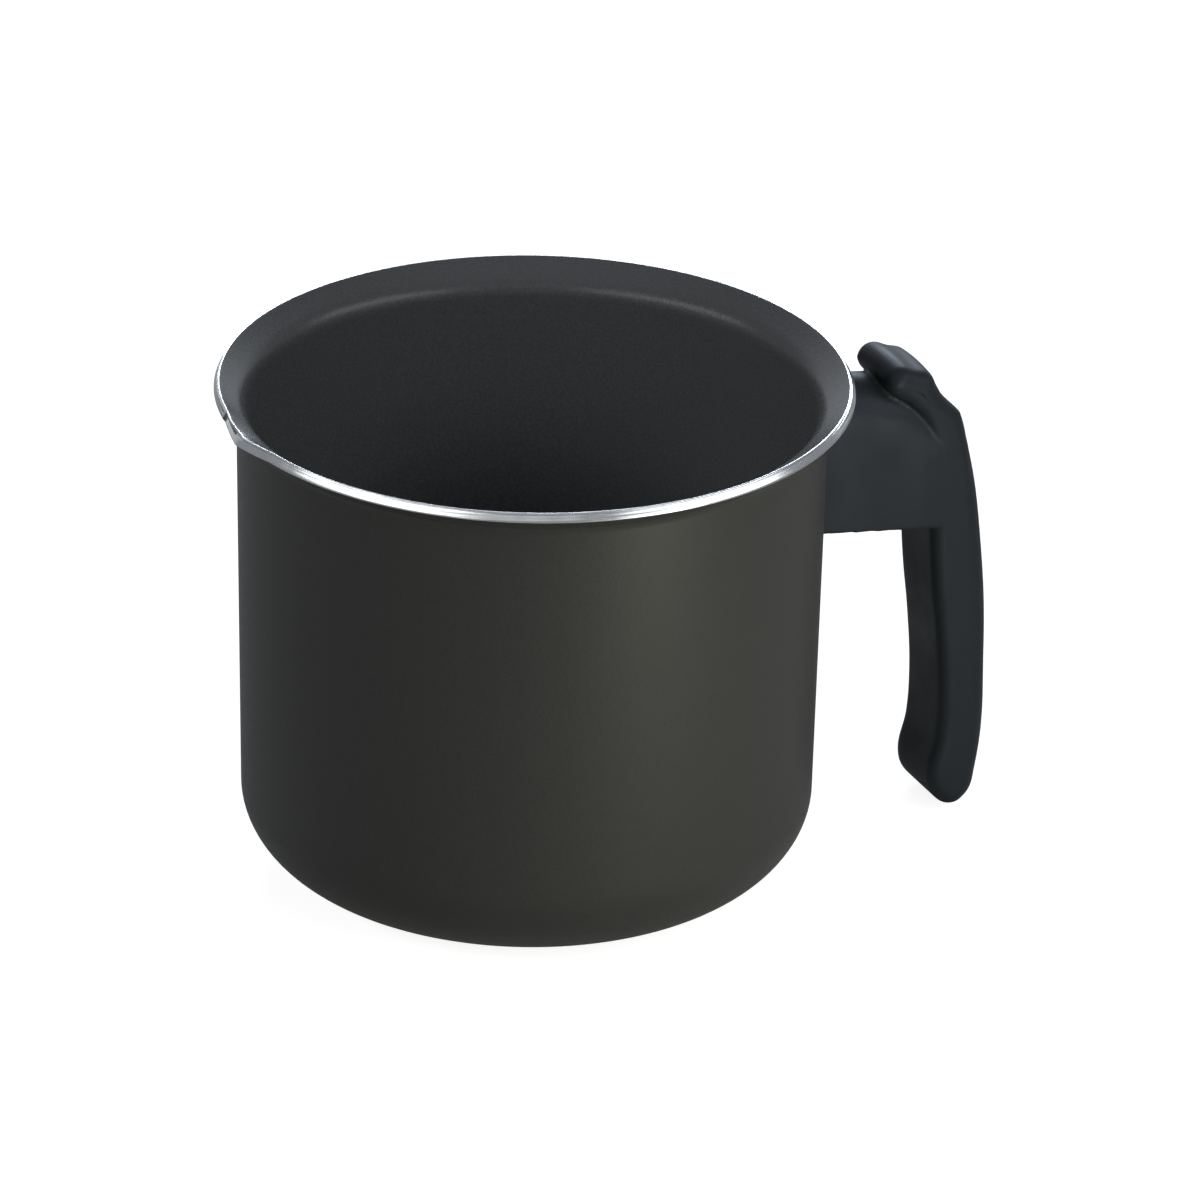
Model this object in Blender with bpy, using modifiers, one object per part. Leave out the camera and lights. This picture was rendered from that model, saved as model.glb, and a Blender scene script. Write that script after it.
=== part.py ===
"""Milk boiler: a drawn aluminium pot with a flared rim and a pouring lip, and a moulded side handle.

The origin is the middle of the flat base. +Z is up, the handle stands at +X and the pouring lip at -X.
All sizes are in metres.
"""
import math

import bmesh
import bpy
from mathutils import Matrix, Vector

# Pot: one drawn sheet
POT_HEIGHT = 0.1297
WALL_RADIUS = 0.0722
WALL_DRAFT = 0.0023
SHEET = 0.0026
CORNER_ACROSS = 0.0320
CORNER_UP = 0.0238
CORNER_STEPS = 9

# Flared rim and pouring lip
RIM_FLARE = 0.0053
LIP_BEND = 0.0034
LIP_ANGLE = math.radians(58)
LIP_STEPS = 4
SPOUT_HALF_WIDTH = 0.0105
SPOUT_REACH = 0.0016
SPOUT_DROP = 0.0010
SPOUT_DRAW_IN = 0.0012
TURN_STEPS = 96

# Handle: side outline, width and edges
HANDLE_REACH = 0.0476
HANDLE_WIDTH = 0.0224
HANDLE_TOP_DROP = 0.0080
FOOT_LIFT = 0.0013
EDGE_ROUND = 0.0033
EDGE_CROWN = 0.0070
OUTLINE_STEPS = 6

# Places round the handle's side outline: share of the reach out from the wall, share of the height.
# The first is the thumb rest's nose, and the rest go over the top, down the back and up the inside.
NOSE_SHARES = (
    (0.399, 0.977), (0.462, 1.000), (0.567, 0.988), (0.645, 0.976), (0.683, 0.948), (0.723, 0.920),
)
CORNER_SHARE = (0.819, 0.876)
BACK_SHARES = (
    (0.887, 0.793), (0.971, 0.571), (1.000, 0.338), (0.962, 0.072), (0.912, 0.017), (0.800, 0.000),
)
INNER_SHARES = (
    (0.697, 0.022), (0.676, 0.072), (0.708, 0.272), (0.687, 0.438),
    (0.645, 0.562), (0.655, 0.753), (0.618, 0.856),
)
UNDER_SHARES = ((0.527, 0.911), (0.445, 0.935), (0.405, 0.952))

# Neck between the wall and the grip
NECK_TOP_DROP = 0.0114
NECK_HEIGHT = 0.0383
NECK_FALL = 0.0036
NECK_WALL_WIDTH = 0.0168
NECK_GRIP_WIDTH = 0.0216
NECK_STEPS = 8
NECK_ARCH_POWER = 2 / 3
NECK_INTO_WALL = 0.0030
# How far out each section of the neck lies, and how much of the full height it keeps
NECK_OUT_SHARES = (0.0, 0.437, 0.750)
NECK_RISE_SHARES = (1.0, 0.955, 0.640)

# Fastening: weld stud, screw and washers
FIT_GAP = 0.0003
SCREW_RISE_SHARE = 0.5
STUD_RADIUS = 0.0050
STUD_LENGTH = 0.0105
STUD_FLANGE_RADIUS = 0.0068
STUD_FLANGE = 0.0016
STUD_FLOOR = 0.0016
SCREW_RADIUS = 0.0025
SCREW_TIP_GAP = 0.0006
HEAD_RADIUS = 0.0046
HEAD_HEIGHT = 0.0033
HEAD_EDGE = 0.0008
RECESS_WIDTH = 0.0011
RECESS_LENGTH = 0.0050
RECESS_DEPTH = 0.0020
WASHER_RADIUS = 0.0050
WASHER_THICKNESS = 0.0010
SPRING_RADIUS = 0.0044
SPRING_THICKNESS = 0.0012
SPRING_SLIT = 0.0009
SEAT_INSET = 0.0185
ROUND_STEPS = 32
CUT_OVERRUN = 0.0050
WELD_DISTANCE = 0.00001

# Sizes that follow from the ones above
INNER_RADIUS = WALL_RADIUS - SHEET
RIM_RADIUS = WALL_RADIUS + RIM_FLARE
LIP_OUTER_BEND = LIP_BEND + SHEET
LIP_CENTRE_RADIUS = WALL_RADIUS + LIP_BEND
LIP_LENGTH = (RIM_RADIUS - LIP_CENTRE_RADIUS + LIP_OUTER_BEND * math.cos(LIP_ANGLE)) / math.sin(LIP_ANGLE)
LIP_ROOT = POT_HEIGHT - LIP_OUTER_BEND * math.sin(LIP_ANGLE) - LIP_LENGTH * math.cos(LIP_ANGLE)
EDGE_RADIUS = RIM_RADIUS + SHEET * math.cos(LIP_ANGLE)
HANDLE_TOP = POT_HEIGHT - HANDLE_TOP_DROP
NECK_BOTTOM = POT_HEIGHT - NECK_TOP_DROP - NECK_HEIGHT
SCREW_HEIGHT = NECK_BOTTOM + NECK_HEIGHT * SCREW_RISE_SHARE
SEAT_X = WALL_RADIUS + HANDLE_REACH - SEAT_INSET
WASHER_X = SEAT_X + FIT_GAP
SPRING_X = WASHER_X + WASHER_THICKNESS + FIT_GAP
HEAD_X = SPRING_X + SPRING_THICKNESS + FIT_GAP


def wall_radius(height):
    """The outer wall's radius at a height: it narrows towards the base by the draft."""
    share = (LIP_ROOT - height) / (LIP_ROOT - CORNER_UP)
    return WALL_RADIUS - WALL_DRAFT * share


STUD_X = wall_radius(SCREW_HEIGHT) + FIT_GAP
STUD_END_X = STUD_X + STUD_LENGTH
SCREW_TIP_X = STUD_X + STUD_FLOOR + SCREW_TIP_GAP


def clear_scene():
    """Removes every object, so that the script starts from nothing."""
    for thing in list(bpy.data.objects):
        bpy.data.objects.remove(thing, do_unlink=True)


def new_collection(name):
    """A collection linked to the scene."""
    group = bpy.data.collections.new(name)
    bpy.context.scene.collection.children.link(group)
    return group


def new_material(name, colour, roughness, metallic):
    """A Principled material with one colour."""
    material = bpy.data.materials.new(name)
    material.use_nodes = True
    shader = material.node_tree.nodes["Principled BSDF"]
    shader.inputs["Base Color"].default_value = (*colour, 1)
    shader.inputs["Roughness"].default_value = roughness
    shader.inputs["Metallic"].default_value = metallic
    return material


def add_mesh(name, mesh, group, material=None):
    """An object for a mesh, in a collection."""
    thing = bpy.data.objects.new(name, mesh)
    group.objects.link(thing)
    if material:
        mesh.materials.clear()
        mesh.materials.append(material)
    return thing


def finish_bmesh(name, bm):
    """A mesh from a bmesh, welded and with its faces pointing out."""
    bmesh.ops.remove_doubles(bm, verts=bm.verts, dist=WELD_DISTANCE)
    bmesh.ops.recalc_face_normals(bm, faces=bm.faces)
    mesh = bpy.data.meshes.new(name)
    bm.to_mesh(mesh)
    bm.free()
    return mesh


def shade_round(thing):
    """Smooth shading with the sharp edges kept."""
    thing.data.shade_smooth()
    thing.data.set_sharp_from_angle(angle=math.radians(35))


def hide_cutter(thing):
    """Marks an object as a cutter that is no part of the model."""
    thing.hide_render = True
    thing.display_type = "WIRE"
    return thing


def boolean(thing, other, operation):
    """Adds an exact Boolean modifier."""
    modifier = thing.modifiers.new(other.name, "BOOLEAN")
    modifier.operation = operation
    modifier.object = other
    modifier.solver = "EXACT"


def bake(thing, name):
    """A mesh of the object as its modifiers leave it, in world space and welded."""
    bpy.context.view_layer.update()
    graph = bpy.context.evaluated_depsgraph_get()
    mesh = bpy.data.meshes.new_from_object(thing.evaluated_get(graph))
    mesh.transform(thing.matrix_world)
    bm = bmesh.new()
    bm.from_mesh(mesh)
    bpy.data.meshes.remove(mesh)
    return finish_bmesh(name, bm)


def turned(name, profile, group):
    """A solid of revolution about Z, from a profile of radius and height that runs down its outer side."""
    mesh = bpy.data.meshes.new(name)
    points = [(radius, 0, height) for radius, height in profile]
    edges = [(index, index + 1) for index in range(len(points) - 1)]
    mesh.from_pydata(points, edges, [])
    thing = add_mesh(name, mesh, group)
    screw = thing.modifiers.new("turn", "SCREW")
    screw.axis = "Z"
    screw.steps = TURN_STEPS
    screw.render_steps = TURN_STEPS
    screw.use_merge_vertices = True
    screw.merge_threshold = WELD_DISTANCE
    return thing


def rod(name, radius, start_x, end_x, height, group):
    """A round rod along X between two places, at a height."""
    bm = bmesh.new()
    middle = Vector(((start_x + end_x) / 2, 0, height))
    place = Matrix.Translation(middle) @ Matrix.Rotation(math.pi / 2, 4, "Y")
    depth = end_x - start_x
    bmesh.ops.create_cone(
        bm, cap_ends=True, segments=ROUND_STEPS, radius1=radius, radius2=radius, depth=depth, matrix=place
    )
    return add_mesh(name, finish_bmesh(name, bm), group)


def block(name, low, high, group):
    """A box between two corners."""
    bm = bmesh.new()
    size = Vector(high) - Vector(low)
    place = Matrix.Translation((Vector(high) + Vector(low)) / 2) @ Matrix.Diagonal((*size, 1))
    bmesh.ops.create_cube(bm, size=1, matrix=place)
    return add_mesh(name, finish_bmesh(name, bm), group)


def arc(centre, across, up, start, end, steps):
    """Points on an ellipse's arc, as radius and height."""
    angles = [start + (end - start) * step / steps for step in range(steps + 1)]
    return [(centre[0] + across * math.cos(angle), centre[1] + up * math.sin(angle)) for angle in angles]


def pot_profile():
    """The sheet's section, from the middle of the floor, over the rim and down to the middle of the base."""
    corner = (WALL_RADIUS - WALL_DRAFT - CORNER_ACROSS, CORNER_UP)
    bend = (LIP_CENTRE_RADIUS, LIP_ROOT)
    quarter = math.pi / 2
    inner = [(0, SHEET)]
    inner += arc(corner, CORNER_ACROSS - SHEET, CORNER_UP - SHEET, -quarter, 0, CORNER_STEPS)
    inner += arc(bend, LIP_OUTER_BEND, LIP_OUTER_BEND, math.pi, math.pi - LIP_ANGLE, LIP_STEPS)
    outer = arc(bend, LIP_BEND, LIP_BEND, math.pi - LIP_ANGLE, math.pi, LIP_STEPS)
    outer += arc(corner, CORNER_ACROSS, CORNER_UP, 0, -quarter, CORNER_STEPS)
    edge = [(RIM_RADIUS, POT_HEIGHT), (EDGE_RADIUS, POT_HEIGHT - SHEET * math.sin(LIP_ANGLE))]
    return inner + edge + outer + [(0, 0)]


def press_spout(mesh):
    """Presses the rim out and down at -X into a shallow V, which pulls that side of the rim in a little."""
    half_angle = SPOUT_HALF_WIDTH / RIM_RADIUS
    for vertex in mesh.vertices:
        place = vertex.co
        radius = math.hypot(place.x, place.y)
        if place.z <= LIP_ROOT or radius <= INNER_RADIUS:
            continue
        off = math.pi - abs(math.atan2(place.y, place.x))
        weight = max(0, 1 - off / half_angle)
        out_share = (radius - INNER_RADIUS) / (EDGE_RADIUS - INNER_RADIUS)
        rise_share = (place.z - LIP_ROOT) / (POT_HEIGHT - LIP_ROOT)
        bend_share = out_share**2 * math.sqrt(rise_share)
        draw_in = SPOUT_DRAW_IN * (1 + math.cos(off)) / 2
        outward = (SPOUT_REACH * weight - draw_in) * bend_share
        place.x *= 1 + outward / radius
        place.y *= 1 + outward / radius
        place.z -= SPOUT_DROP * weight * bend_share


def make_pot(parts, cutters, material):
    """The drawn pot, with its rim and pouring lip."""
    blank = turned("pot_blank", pot_profile(), cutters)
    mesh = bake(blank, "pot_body")
    bpy.data.objects.remove(blank)
    press_spout(mesh)
    pot = add_mesh("pot_body", mesh, parts, material)
    shade_round(pot)
    return pot


def make_wall_cutter(cutters):
    """A plug of the outer wall's shape, a fit gap larger, that shapes what seats on the wall."""
    low = NECK_BOTTOM - CUT_OVERRUN
    high = LIP_ROOT
    profile = [(0, high), (wall_radius(high) + FIT_GAP, high), (wall_radius(low) + FIT_GAP, low), (0, low)]
    blank = turned("wall_blank", profile, cutters)
    plug = add_mesh("wall_plug", bake(blank, "wall_plug"), cutters)
    bpy.data.objects.remove(blank)
    return hide_cutter(plug)


def outline_point(share):
    """A place on the handle's side outline, in the outline curve's own X and Y."""
    height = HANDLE_TOP - FOOT_LIFT
    return (WALL_RADIUS + HANDLE_REACH * share[0], FOOT_LIFT + height * share[1], 0)


def make_strap(cutters):
    """The handle's strap: thumb rest, thumb hollow and grip as one thick outline with crowned edges."""
    curve = bpy.data.curves.new("strap", "CURVE")
    curve.dimensions = "2D"
    curve.fill_mode = "BOTH"
    curve.resolution_u = OUTLINE_STEPS
    curve.render_resolution_u = OUTLINE_STEPS
    stretch = EDGE_CROWN / EDGE_ROUND
    curve.extrude = (HANDLE_WIDTH / 2 - EDGE_CROWN) / stretch
    curve.bevel_depth = EDGE_ROUND
    curve.bevel_resolution = 2
    curve.offset = -EDGE_ROUND
    places = (*NOSE_SHARES, CORNER_SHARE, *BACK_SHARES, *INNER_SHARES, *UNDER_SHARES)
    spline = curve.splines.new("BEZIER")
    spline.bezier_points.add(len(places) - 1)
    spline.use_cyclic_u = True
    for point, share in zip(spline.bezier_points, places):
        point.co = outline_point(share)
        kind = "VECTOR" if share == CORNER_SHARE else "AUTO"
        point.handle_left_type = kind
        point.handle_right_type = kind
    strap = bpy.data.objects.new("strap_curve", curve)
    cutters.objects.link(strap)
    strap.rotation_euler = (math.pi / 2, 0, 0)
    strap.scale = (1, 1, stretch)
    mesh = bake(strap, "handle")
    bpy.data.objects.remove(strap)
    return mesh


def neck_ring(out_share, rise_share):
    """One section of the neck: flat below, leaning sides and a narrow arch on top."""
    out = HANDLE_REACH * out_share
    x = WALL_RADIUS + out if out_share else WALL_RADIUS - NECK_INTO_WALL
    half = (NECK_WALL_WIDTH + (NECK_GRIP_WIDTH - NECK_WALL_WIDTH) * out_share) / 2
    bottom = NECK_BOTTOM - NECK_FALL * out_share
    rise = NECK_HEIGHT * rise_share + NECK_FALL * out_share
    side = []
    for step in range(NECK_STEPS + 1):
        angle = math.pi / 2 * step / NECK_STEPS
        side.append((half * math.cos(angle), rise * math.sin(angle) ** NECK_ARCH_POWER))
    ring = side + [(-across, up) for across, up in reversed(side[:-1])]
    return [Vector((x, across, bottom + up)) for across, up in ring]


def make_neck(cutters):
    """The neck that carries the strap from the wall, lofted through its sections."""
    bm = bmesh.new()
    rings = []
    for out_share, rise_share in zip(NECK_OUT_SHARES, NECK_RISE_SHARES):
        rings.append([bm.verts.new(place) for place in neck_ring(out_share, rise_share)])
    for ring, following in zip(rings, rings[1:]):
        for index in range(len(ring)):
            after = (index + 1) % len(ring)
            bm.faces.new((ring[index], ring[after], following[after], following[index]))
    bm.faces.new(rings[0])
    bm.faces.new(rings[-1])
    return hide_cutter(add_mesh("neck", finish_bmesh("neck", bm), cutters))


def make_handle(parts, cutters, wall_plug, material):
    """The moulded handle: strap and neck in one, seated on the wall and bored for its stud and screw."""
    handle = add_mesh("handle", make_strap(cutters), parts, material)
    boolean(handle, make_neck(cutters), "UNION")
    start = WALL_RADIUS - WALL_DRAFT - CUT_OVERRUN
    pockets = (
        ("flange_pocket", STUD_FLANGE_RADIUS, STUD_X + STUD_FLANGE),
        ("stud_pocket", STUD_RADIUS, STUD_END_X),
        ("screw_channel", SCREW_RADIUS, SEAT_X + FIT_GAP),
    )
    for name, radius, end in pockets:
        pocket = rod(name, radius + FIT_GAP, start, end + FIT_GAP, SCREW_HEIGHT, cutters)
        boolean(handle, hide_cutter(pocket), "DIFFERENCE")
    back = WALL_RADIUS + HANDLE_REACH + CUT_OVERRUN
    bore = rod("head_bore", max(WASHER_RADIUS, HEAD_RADIUS) + FIT_GAP, SEAT_X, back, SCREW_HEIGHT, cutters)
    boolean(handle, hide_cutter(bore), "DIFFERENCE")
    boolean(handle, wall_plug, "DIFFERENCE")
    shade_round(handle)
    return handle


def make_stud(parts, cutters, wall_plug, material):
    """The threaded stud that is welded to the wall, with its flange shaped to the wall."""
    start = WALL_RADIUS - WALL_DRAFT - CUT_OVERRUN
    stud = rod("weld_stud", STUD_FLANGE_RADIUS, start, STUD_X + STUD_FLANGE, SCREW_HEIGHT, parts)
    stud.data.materials.append(material)
    barrel = rod("stud_barrel", STUD_RADIUS, STUD_X, STUD_END_X, SCREW_HEIGHT, cutters)
    boolean(stud, hide_cutter(barrel), "UNION")
    end = STUD_END_X + CUT_OVERRUN
    bore = rod("stud_bore", SCREW_RADIUS + FIT_GAP, STUD_X + STUD_FLOOR, end, SCREW_HEIGHT, cutters)
    boolean(stud, hide_cutter(bore), "DIFFERENCE")
    boolean(stud, wall_plug, "DIFFERENCE")
    shade_round(stud)
    return stud


def make_washer(parts, cutters, material):
    """The plain washer on its seat in the handle."""
    washer = rod("flat_washer", WASHER_RADIUS, WASHER_X, WASHER_X + WASHER_THICKNESS, SCREW_HEIGHT, parts)
    washer.data.materials.append(material)
    start = WASHER_X - CUT_OVERRUN
    hole = rod("washer_hole", SCREW_RADIUS + FIT_GAP, start, WASHER_X + CUT_OVERRUN, SCREW_HEIGHT, cutters)
    boolean(washer, hide_cutter(hole), "DIFFERENCE")
    shade_round(washer)
    return washer


def make_spring_washer(parts, cutters, material):
    """The split spring washer under the screw's head."""
    end = SPRING_X + SPRING_THICKNESS
    washer = rod("spring_washer", SPRING_RADIUS, SPRING_X, end, SCREW_HEIGHT, parts)
    washer.data.materials.append(material)
    start = SPRING_X - CUT_OVERRUN
    hole = rod("spring_hole", SCREW_RADIUS + FIT_GAP, start, end + CUT_OVERRUN, SCREW_HEIGHT, cutters)
    boolean(washer, hide_cutter(hole), "DIFFERENCE")
    low = (start, -SPRING_SLIT / 2, SCREW_HEIGHT)
    high = (end + CUT_OVERRUN, SPRING_SLIT / 2, SCREW_HEIGHT + SPRING_RADIUS + CUT_OVERRUN)
    boolean(washer, hide_cutter(block("spring_slit", low, high, cutters)), "DIFFERENCE")
    shade_round(washer)
    return washer


def make_screw(parts, cutters, material):
    """The pan-head screw with a cross recess that pulls the handle against the wall."""
    face_x = HEAD_X + HEAD_HEIGHT
    screw = rod("handle_screw", HEAD_RADIUS, HEAD_X, face_x, SCREW_HEIGHT, parts)
    screw.data.materials.append(material)
    edge = screw.modifiers.new("head_edge", "BEVEL")
    edge.width = HEAD_EDGE
    edge.segments = 2
    edge.limit_method = "ANGLE"
    shank = rod("shank", SCREW_RADIUS, SCREW_TIP_X, HEAD_X + HEAD_HEIGHT / 2, SCREW_HEIGHT, cutters)
    boolean(screw, hide_cutter(shank), "UNION")
    slots = (("recess_across", RECESS_LENGTH, RECESS_WIDTH), ("recess_upright", RECESS_WIDTH, RECESS_LENGTH))
    for name, across, up in slots:
        low = (face_x - RECESS_DEPTH, -across / 2, SCREW_HEIGHT - up / 2)
        high = (face_x + CUT_OVERRUN, across / 2, SCREW_HEIGHT + up / 2)
        boolean(screw, hide_cutter(block(name, low, high, cutters)), "DIFFERENCE")
    shade_round(screw)
    return screw


def main():
    """Builds the milk boiler."""
    clear_scene()
    parts = new_collection("milk_boiler")
    cutters = new_collection("cutters")
    coating = new_material("black_coating", (0.035, 0.036, 0.034), 0.42, 0.0)
    phenolic = new_material("black_phenolic", (0.030, 0.034, 0.036), 0.48, 0.0)
    aluminium = new_material("bare_aluminium", (0.80, 0.81, 0.82), 0.35, 1.0)
    steel = new_material("zinc_plated_steel", (0.62, 0.63, 0.65), 0.32, 1.0)
    wall_plug = make_wall_cutter(cutters)
    make_pot(parts, cutters, coating)
    make_stud(parts, cutters, wall_plug, aluminium)
    make_handle(parts, cutters, wall_plug, phenolic)
    make_washer(parts, cutters, steel)
    make_spring_washer(parts, cutters, steel)
    make_screw(parts, cutters, steel)


main()
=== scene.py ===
"""Looks for a milk boiler: a coated aluminium pot with a bare rim, a pouring lip and a moulded handle.

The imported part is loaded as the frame. The origin is the middle of the flat base, +Z is up, the handle
stands at +X and the pouring lip at -X. All sizes are in metres.
"""

import logging
import math
from dataclasses import dataclass, field
from enum import Enum
from typing import Any

import bmesh
import bpy
from mathutils import Matrix, Quaternion, Vector

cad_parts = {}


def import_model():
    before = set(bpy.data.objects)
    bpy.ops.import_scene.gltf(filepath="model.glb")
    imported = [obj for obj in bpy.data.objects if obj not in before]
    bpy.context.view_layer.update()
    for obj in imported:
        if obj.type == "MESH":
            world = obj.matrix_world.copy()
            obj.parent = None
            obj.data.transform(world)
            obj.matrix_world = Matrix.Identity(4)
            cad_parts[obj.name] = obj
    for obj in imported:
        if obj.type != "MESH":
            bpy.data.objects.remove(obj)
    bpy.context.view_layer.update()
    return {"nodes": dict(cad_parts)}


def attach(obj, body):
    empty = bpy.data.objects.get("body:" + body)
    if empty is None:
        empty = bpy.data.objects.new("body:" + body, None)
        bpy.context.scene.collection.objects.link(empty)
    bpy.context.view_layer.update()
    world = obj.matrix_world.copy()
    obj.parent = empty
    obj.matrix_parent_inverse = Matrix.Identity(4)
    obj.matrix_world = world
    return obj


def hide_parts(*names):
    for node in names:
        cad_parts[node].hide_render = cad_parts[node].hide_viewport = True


LOG = logging.getLogger("milk_boiler")
MM = 0.001
WELD = 0.01 * MM
FINE_WELD = WELD / 10
QUARTER = math.pi / 2
SMOOTH_ANGLE = math.radians(32)
# Most of a noise lies between these two
NOISE_LOW = 0.3
NOISE_HIGH = 0.7


class Slot(Enum):
    """Names of three material slots; no piece here is given one."""

    COATED = "coated_aluminium"
    PHENOLIC = "black_phenolic"
    ZINC = "zinc_plated_steel"


class Coat(Enum):
    """The order of the pot's own materials."""

    OUTSIDE = 0
    BARE = 1
    INSIDE = 2


class Axis(Enum):
    """The axes that pieces are turned about."""

    ALONG_X = (1.0, 0.0, 0.0)
    ACROSS_Y = (0.0, 1.0, 0.0)
    UP_Z = (0.0, 0.0, 1.0)


def linear(code: str) -> tuple[float, float, float, float]:
    """Turns an sRGB hex colour into a linear one.

    Args:
        code: The colour as #rrggbb.

    Returns:
        Linear red, green, blue and an alpha of 1.
    """
    shares = [int(code[place:place + 2], 16) / 255 for place in (1, 3, 5)]
    curve = [share / 12.92 if share <= 0.04045 else ((share + 0.055) / 1.055) ** 2.4 for share in shares]
    return (curve[0], curve[1], curve[2], 1.0)


def add_node(
    tree: bpy.types.NodeTree, kind: str, inputs: dict[Any, Any] | None = None, **settings: Any
) -> bpy.types.Node:
    """Adds a node with its settings, values and links.

    Args:
        tree: The node tree.
        kind: The node's type name.
        inputs: Values by socket name or number. A socket of another node is linked.
        settings: The node's own properties.

    Returns:
        The new node.
    """
    node = tree.nodes.new(kind)
    for name, value in settings.items():
        setattr(node, name, value)
    for name, value in (inputs or {}).items():
        if isinstance(value, bpy.types.NodeSocket):
            tree.links.new(value, node.inputs[name])
        else:
            node.inputs[name].default_value = value
    return node


def new_material(
    name: str,
) -> tuple[bpy.types.Material, bpy.types.NodeTree, bpy.types.Node, bpy.types.NodeSocket]:
    """Makes an empty Principled material.

    Args:
        name: The finish's name.

    Returns:
        The material, its node tree, its shader and the object coordinates.
    """
    material = bpy.data.materials.new(name)
    material.use_nodes = True
    tree = material.node_tree
    shader = tree.nodes["Principled BSDF"]
    place = add_node(tree, "ShaderNodeTexCoord").outputs["Object"]
    return material, tree, shader, place


def vary(
    tree: bpy.types.NodeTree,
    shader: bpy.types.Node,
    pattern: bpy.types.Node,
    colours: tuple[str, str],
    roughness: tuple[float, float],
) -> None:
    """Varies a finish's colour and roughness with a noise.

    Args:
        tree: The finish's node tree.
        shader: Its Principled shader.
        pattern: The noise.
        colours: The colours where the noise is low and where it is high.
        roughness: The roughness at both.
    """
    noise = pattern.outputs["Fac"]
    low_colour, high_colour = (linear(code) for code in colours)
    low_rough, high_rough = roughness
    colour = add_node(
        tree, "ShaderNodeMix", {"Factor": noise, 6: low_colour, 7: high_colour}, data_type="RGBA"
    )
    rough = add_node(
        tree,
        "ShaderNodeMapRange",
        {"Value": noise, 1: NOISE_LOW, 2: NOISE_HIGH, 3: low_rough, 4: high_rough},
    )
    tree.links.new(colour.outputs[2], shader.inputs["Base Color"])
    tree.links.new(rough.outputs["Result"], shader.inputs["Roughness"])


@dataclass(frozen=True)
class BakedCoating:
    """Black coating, sprayed on drawn aluminium and baked.

    Spraying and baking leave a fine orange peel with mineral grains in it, so the sheen is satin and breaks
    up into specks. The outer paint has a little warm pigment, which shows where a lamp's sheen is strong.
    """

    name: str = "baked_outer_paint"
    colour: str = "#353536"
    grain_colour: str = "#41413f"
    sheen_tint: str = "#fffef4"
    specular: float = 0.24
    rough_low: float = 0.38
    rough_high: float = 0.50
    peel_size: float = 1.6 * MM
    peel_depth: float = 0.012 * MM
    grain_size: float = 0.50 * MM
    grain_depth: float = 0.034 * MM

    def material(self) -> bpy.types.Material:
        """Builds the coating's material.

        Returns:
            The material.
        """
        material, tree, shader, place = new_material(self.name)
        grain = add_node(
            tree,
            "ShaderNodeTexNoise",
            {"Vector": place, "Scale": 1 / self.grain_size, "Detail": 2.0, "Roughness": 0.6},
        )
        peel = add_node(
            tree, "ShaderNodeTexNoise", {"Vector": place, "Scale": 1 / self.peel_size, "Detail": 1.0}
        )
        colours = (self.colour, self.grain_colour)
        vary(tree, shader, grain, colours, (self.rough_low, self.rough_high))
        peel_bump = add_node(
            tree,
            "ShaderNodeBump",
            {"Height": peel.outputs["Fac"], "Strength": 1.0, "Distance": self.peel_depth},
        )
        bump = add_node(
            tree,
            "ShaderNodeBump",
            {
                "Height": grain.outputs["Fac"],
                "Strength": 1.0,
                "Distance": self.grain_depth,
                "Normal": peel_bump.outputs["Normal"],
            },
        )
        shader.inputs["Specular IOR Level"].default_value = self.specular
        shader.inputs["Specular Tint"].default_value = linear(self.sheen_tint)
        tree.links.new(bump.outputs["Normal"], shader.inputs["Normal"])
        return material


@dataclass(frozen=True)
class BakedLining(BakedCoating):
    """Non-stick lining, sprayed on in more coats than the outer paint and baked.

    It is a paler neutral grey with coarser grains, which catch the light as specks on the lip's bend.
    """

    name: str = "baked_nonstick_lining"
    colour: str = "#56585a"
    grain_colour: str = "#66686a"
    sheen_tint: str = "#ffffff"
    specular: float = 0.32
    rough_low: float = 0.20
    rough_high: float = 0.34
    grain_size: float = 0.62 * MM
    grain_depth: float = 0.05 * MM


@dataclass(frozen=True)
class TurnedAluminium:
    """Bare aluminium, trimmed or faced on a lathe.

    The tool leaves fine rings round the pot's axis, which draw the light out into thin bright and dark
    lines. Real rings are about 0.1 mm apart; they are wider here, because finer ones wouldn't show.
    """

    name: str = "turned_aluminium"
    colour: str = "#e4e6e7"
    dull_colour: str = "#c6c9ca"
    rough_low: float = 0.16
    rough_high: float = 0.28
    ring_pitch: float = 0.42 * MM
    ring_depth: float = 0.010 * MM
    patch_size: float = 6.0 * MM
    # How many rings Blender's wave texture draws in a metre at a scale of 1
    rings_per_unit: float = 20 / (2 * math.pi)

    def material(self) -> bpy.types.Material:
        """Builds the turned metal's material.

        Returns:
            The material.
        """
        material, tree, shader, place = new_material(self.name)
        rings = add_node(
            tree,
            "ShaderNodeTexWave",
            {
                "Vector": place,
                "Scale": 1 / (self.ring_pitch * self.rings_per_unit),
                "Distortion": 0.6,
                "Detail": 2.0,
                "Detail Scale": 3.0,
            },
            wave_type="RINGS",
            rings_direction="Z",
        )
        patches = add_node(
            tree, "ShaderNodeTexNoise", {"Vector": place, "Scale": 1 / self.patch_size, "Detail": 3.0}
        )
        colours = (self.colour, self.dull_colour)
        vary(tree, shader, patches, colours, (self.rough_low, self.rough_high))
        bump = add_node(
            tree,
            "ShaderNodeBump",
            {"Height": rings.outputs["Fac"], "Strength": 1.0, "Distance": self.ring_depth},
        )
        shader.inputs["Metallic"].default_value = 1.0
        tree.links.new(bump.outputs["Normal"], shader.inputs["Normal"])
        return material


@dataclass(frozen=True)
class TurnedStud(TurnedAluminium):
    """The stud's bare aluminium, turned from bar on an automatic lathe.

    Its faster feed leaves wider rings, which show as a coarser shimmer on the flange.
    """

    name: str = "bare_stud_aluminium"
    ring_pitch: float = 0.5 * MM


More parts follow.
